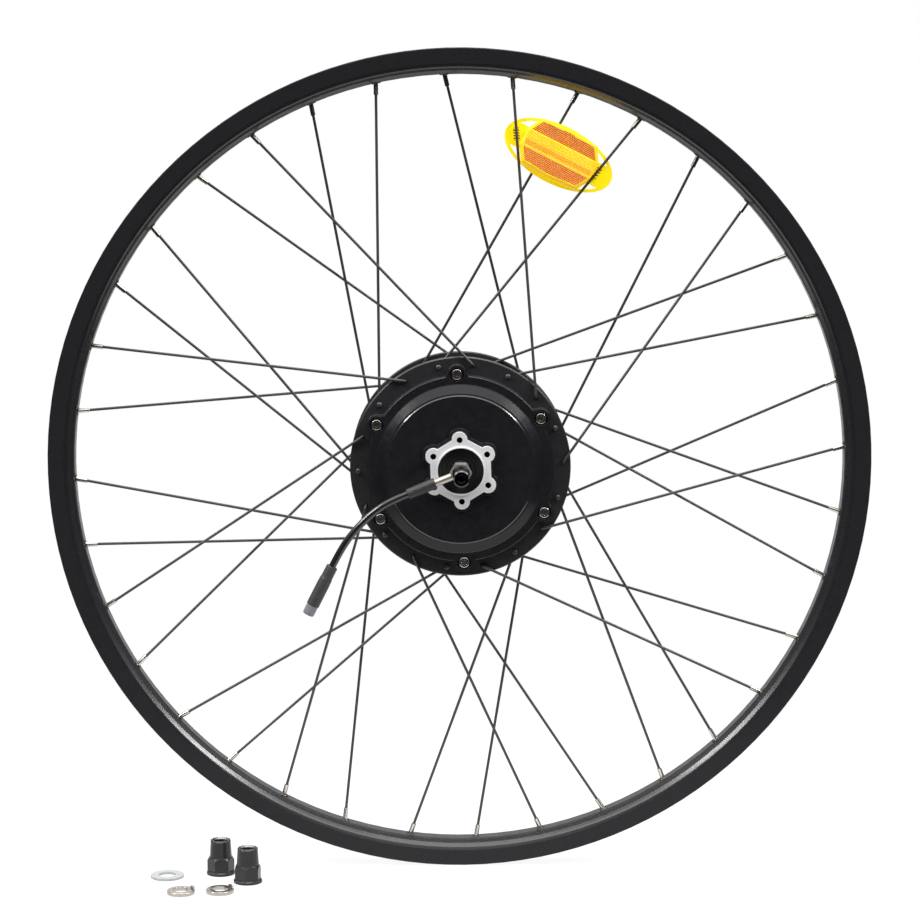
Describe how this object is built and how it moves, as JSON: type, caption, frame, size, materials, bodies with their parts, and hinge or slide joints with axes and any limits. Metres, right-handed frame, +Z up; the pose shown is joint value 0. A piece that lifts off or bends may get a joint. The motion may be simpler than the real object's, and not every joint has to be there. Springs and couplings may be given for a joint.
{
  "type": "hub motor wheel",
  "caption": "Spoked bicycle wheel with a geared electric motor in its hub, a brake disc mount, a motor cable with its plug, a spoke reflector and loose axle nuts and washers.",
  "frame": {"origin": "middle of the axle between the dropout faces, in the middle plane of the rim", "axes": "+Y along the axle from the brake disc side to the drive side, +Z up, +X to the right seen from the disc side"},
  "size_m": [0.5959, 0.194, 0.596],
  "materials": {
    "rim_anodised": "satin black anodised",
    "spoke_black": "semi gloss black",
    "nickel": "polished nickel",
    "hub_black": "satin black lacquer, bare where machined",
    "axle_steel": "turned",
    "bearing_steel": "ground",
    "bronze": "plain",
    "nylon_gear": "plain",
    "stator_iron": "laminated",
    "copper": "lacquered",
    "carrier_aluminium": "turned",
    "board": "lacquered",
    "lead_plastic": "plain",
    "magnet": "plated",
    "seal_rubber": "matte",
    "sleeve_steel": "turned",
    "cable_black": "smooth, glossy",
    "connector_black": "moulded",
    "connector_grey": "moulded",
    "reflector_amber": "prismatic",
    "reflector_yellow": "translucent",
    "nut_black": "black zinc",
    "zinc": "zinc plated"
  },
  "bodies": {
    "axle": {"axle": "axle_steel", "bearing_balls": "bearing_steel", "cable_sleeve": "sleeve_steel", "clutch_inner_race": "axle_steel", "clutch_rollers": "axle_steel", "clutch_spacer": "axle_steel", "connector_body": "connector_black", "connector_nose": "connector_grey", "connector_pins": "sleeve_steel", "cover_bearing_inner_ring": "bearing_steel", "disc_side_spacer": "axle_steel", "drive_bearing_inner_ring": "bearing_steel", "drive_side_lock_nut": "axle_steel", "drive_side_spacer": "axle_steel", "drive_side_washer": "axle_steel", "hall_sensor_board": "board", "hex_collar": "axle_steel", "motor_cable": "cable_black", "phase_leads": "lead_plastic", "planet_bushes": "bronze", "planet_carrier": "axle_steel", "planet_pins": "axle_steel", "planet_thrust_washers": "bronze", "rotor_bearing_inner_ring": "bearing_steel", "stator_carrier": "carrier_aluminium", "stator_coils": "copper", "stator_core": "stator_iron", "strain_relief_boot": "seal_rubber"},
    "wheel": {"rim": "rim_anodised", "rim_eyelets": "nickel", "spoke_nipples": "nickel", "spokes_far_outside": "spoke_black", "spokes_near_outside": "spoke_black", "spokes_far_inside": "spoke_black", "spokes_near_inside": "spoke_black", "hub_shell": "hub_black", "side_cover": "hub_black", "cover_gasket": "seal_rubber", "cover_screws": "nickel", "cover_bearing_outer_ring": "bearing_steel", "drive_bearing_outer_ring": "bearing_steel", "disc_side_seal": "seal_rubber", "drive_side_seal": "seal_rubber", "ring_gear": "axle_steel", "reflector_backing": "reflector_yellow", "reflector_lens": "reflector_amber", "reflector_clips": "reflector_yellow"},
    "rotor": {"rotor_can": "axle_steel", "rotor_magnets": "magnet", "sun_gear": "axle_steel", "sun_bush": "bronze", "rotor_bearing_outer_ring": "bearing_steel"},
    "planet_1": {"planet_gear_1": "nylon_gear"},
    "planet_2": {"planet_gear_2": "nylon_gear"},
    "planet_3": {"planet_gear_3": "nylon_gear"},
    "axle_nut_disc_side": {"axle_nut_disc_side": "nut_black"},
    "axle_nut_drive_side": {"axle_nut_drive_side": "nut_black"},
    "tab_washer_disc_side": {"tab_washer_disc_side": "zinc"},
    "tab_washer_drive_side": {"tab_washer_drive_side": "zinc"},
    "plain_washer": {"plain_washer": "zinc"}
  },
  "joints": [
    {"name": "wheel_spin", "type": "hinge", "parent": "axle", "child": "wheel", "pos_m": [0, 0, 0], "axis": [0, 1, 0], "continuous": true},
    {"name": "rotor_spin", "type": "hinge", "parent": "axle", "child": "rotor", "pos_m": [0, 0, 0], "axis": [0, 1, 0], "continuous": true},
    {"name": "planet_1_spin", "type": "hinge", "parent": "axle", "child": "planet_1", "pos_m": [0, 0.0136, 0.03188], "axis": [0, 1, 0], "continuous": true},
    {"name": "planet_2_spin", "type": "hinge", "parent": "axle", "child": "planet_2", "pos_m": [-0.0276, 0.0136, -0.01594], "axis": [0, 1, 0], "continuous": true},
    {"name": "planet_3_spin", "type": "hinge", "parent": "axle", "child": "planet_3", "pos_m": [0.0276, 0.0136, -0.01594], "axis": [0, 1, 0], "continuous": true},
    {"name": "axle_nut_disc_side_lift", "type": "slide", "parent": "axle", "child": "axle_nut_disc_side", "axis": [0, 0, 1], "range_m": [0, 0.06]},
    {"name": "axle_nut_drive_side_lift", "type": "slide", "parent": "axle", "child": "axle_nut_drive_side", "axis": [0, 0, 1], "range_m": [0, 0.06]},
    {"name": "tab_washer_disc_side_lift", "type": "slide", "parent": "axle", "child": "tab_washer_disc_side", "axis": [0, 0, 1], "range_m": [0, 0.06]},
    {"name": "tab_washer_drive_side_lift", "type": "slide", "parent": "axle", "child": "tab_washer_drive_side", "axis": [0, 0, 1], "range_m": [0, 0.06]},
    {"name": "plain_washer_lift", "type": "slide", "parent": "axle", "child": "plain_washer", "axis": [0, 0, 1], "range_m": [0, 0.06]}
  ],
  "couplings": [
    {"joint": "rotor_spin", "follows": "wheel_spin", "ratio": -4.6667},
    {"joint": "planet_1_spin", "follows": "wheel_spin", "ratio": 2.5455},
    {"joint": "planet_2_spin", "follows": "wheel_spin", "ratio": 2.5455},
    {"joint": "planet_3_spin", "follows": "wheel_spin", "ratio": 2.5455}
  ]
}
